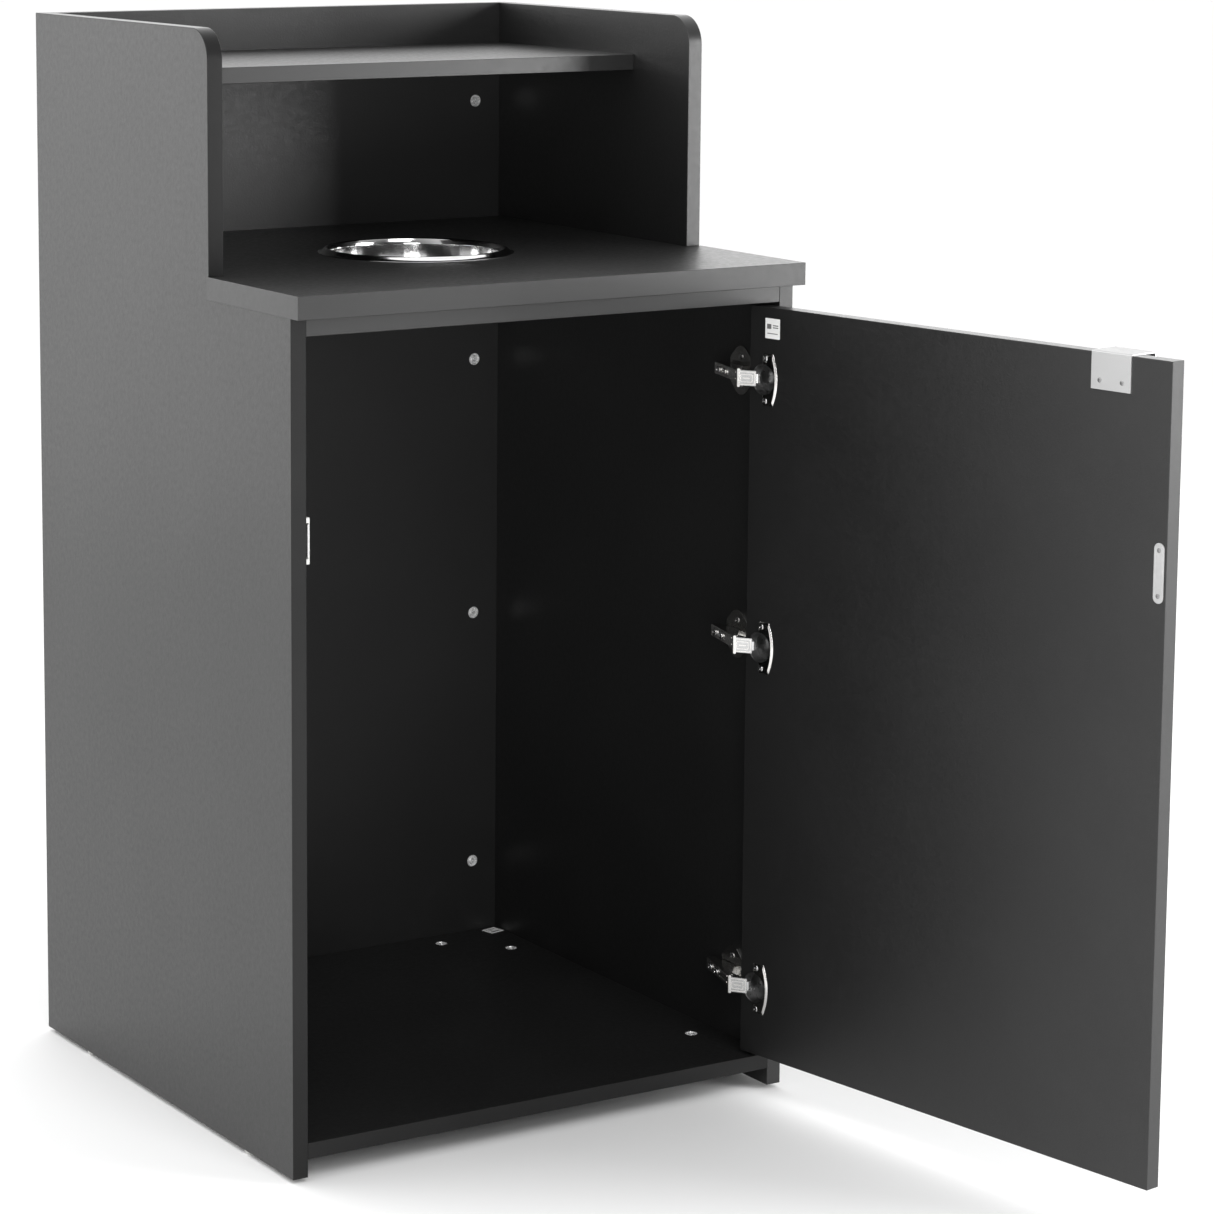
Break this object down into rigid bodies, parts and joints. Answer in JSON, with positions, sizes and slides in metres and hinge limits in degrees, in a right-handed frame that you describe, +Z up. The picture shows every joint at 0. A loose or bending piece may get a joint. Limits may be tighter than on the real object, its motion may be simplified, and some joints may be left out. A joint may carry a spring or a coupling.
{
  "type": "waste receptacle cabinet",
  "caption": "Free-standing laminate cabinet with a hinged door, a countertop with a round steel drop ring and a tray shelf above it.",
  "frame": {"origin": "on the floor, under the centre of the rectangle that the two side panels cover", "axes": "+X to the right seen from the front, +Y towards the back panel, +Z up; the door opens towards -Y"},
  "size_m": [0.7189, 1.1812, 1.219],
  "materials": {
    "laminate": "satin black laminate on board",
    "edge_band": "satin",
    "stainless": "polished",
    "sheet_steel": "satin",
    "nickel": "bright plated",
    "plated_screw": "bright plated",
    "steel_screw": "zinc plated",
    "zinc_casting": "as cast",
    "glide_plastic": "matte",
    "catch_plastic": "matte",
    "magnet": "matte",
    "sticker": "matte"
  },
  "bodies": {
    "cabinet": {"left_side_panel": "laminate", "right_side_panel": "laminate", "back_panel": "laminate", "bottom_panel": "laminate", "tray_shelf": "laminate", "top_rail": "laminate", "countertop": "laminate", "left_front_band": "edge_band", "right_front_band": "edge_band", "left_hutch_band": "edge_band", "right_hutch_band": "edge_band", "back_panel_band": "edge_band", "bottom_panel_band": "edge_band", "tray_shelf_band": "edge_band", "top_rail_band": "edge_band", "countertop_band": "edge_band", "drop_ring": "stainless", "back_panel_cams": "zinc_casting", "bottom_panel_cams": "zinc_casting", "tray_shelf_cams": "zinc_casting", "back_panel_bolts": "steel_screw", "bottom_panel_bolts": "steel_screw", "tray_shelf_bolts": "steel_screw", "counter_screws": "steel_screw", "catch_screws": "steel_screw", "plate_screws": "plated_screw", "arm_screws": "plated_screw", "glides": "glide_plastic", "catch_housing": "catch_plastic", "catch_magnet": "magnet", "catch_poles": "steel_screw", "floor_sticker": "sticker", "hinge_arm_upper": "nickel", "hinge_plate_upper": "nickel", "hinge_arm_middle": "nickel", "hinge_plate_middle": "nickel", "hinge_arm_lower": "nickel", "hinge_plate_lower": "nickel", "arm_pins": "nickel"},
    "door": {"door": "laminate", "door_edge_band": "edge_band", "door_pull": "sheet_steel", "pull_screws": "plated_screw", "strike_plate": "sheet_steel", "strike_screws": "plated_screw", "door_label": "sticker", "cup_screws": "plated_screw", "hinge_cup_upper": "nickel", "hinge_cup_middle": "nickel", "hinge_cup_lower": "nickel"},
    "hinge_links": {"outer_link_upper": "nickel", "outer_link_middle": "nickel", "outer_link_lower": "nickel", "inner_link_upper": "nickel", "inner_link_middle": "nickel", "inner_link_lower": "nickel", "link_pins": "nickel"}
  },
  "joints": [
    {"name": "door_swing", "type": "hinge", "parent": "cabinet", "child": "door", "pos_m": [0.2855, -0.29775, 0.48], "axis": [0, 0, 1], "range_deg": [-99.2, 7]},
    {"name": "link_swing", "type": "hinge", "parent": "cabinet", "child": "hinge_links", "pos_m": [0.27, -0.2775, 0.48], "axis": [0, 0, 1], "range_deg": [-1.8, 24]}
  ],
  "couplings": [
    {"joint": "link_swing", "follows": "door_swing", "ratio": -0.24}
  ]
}
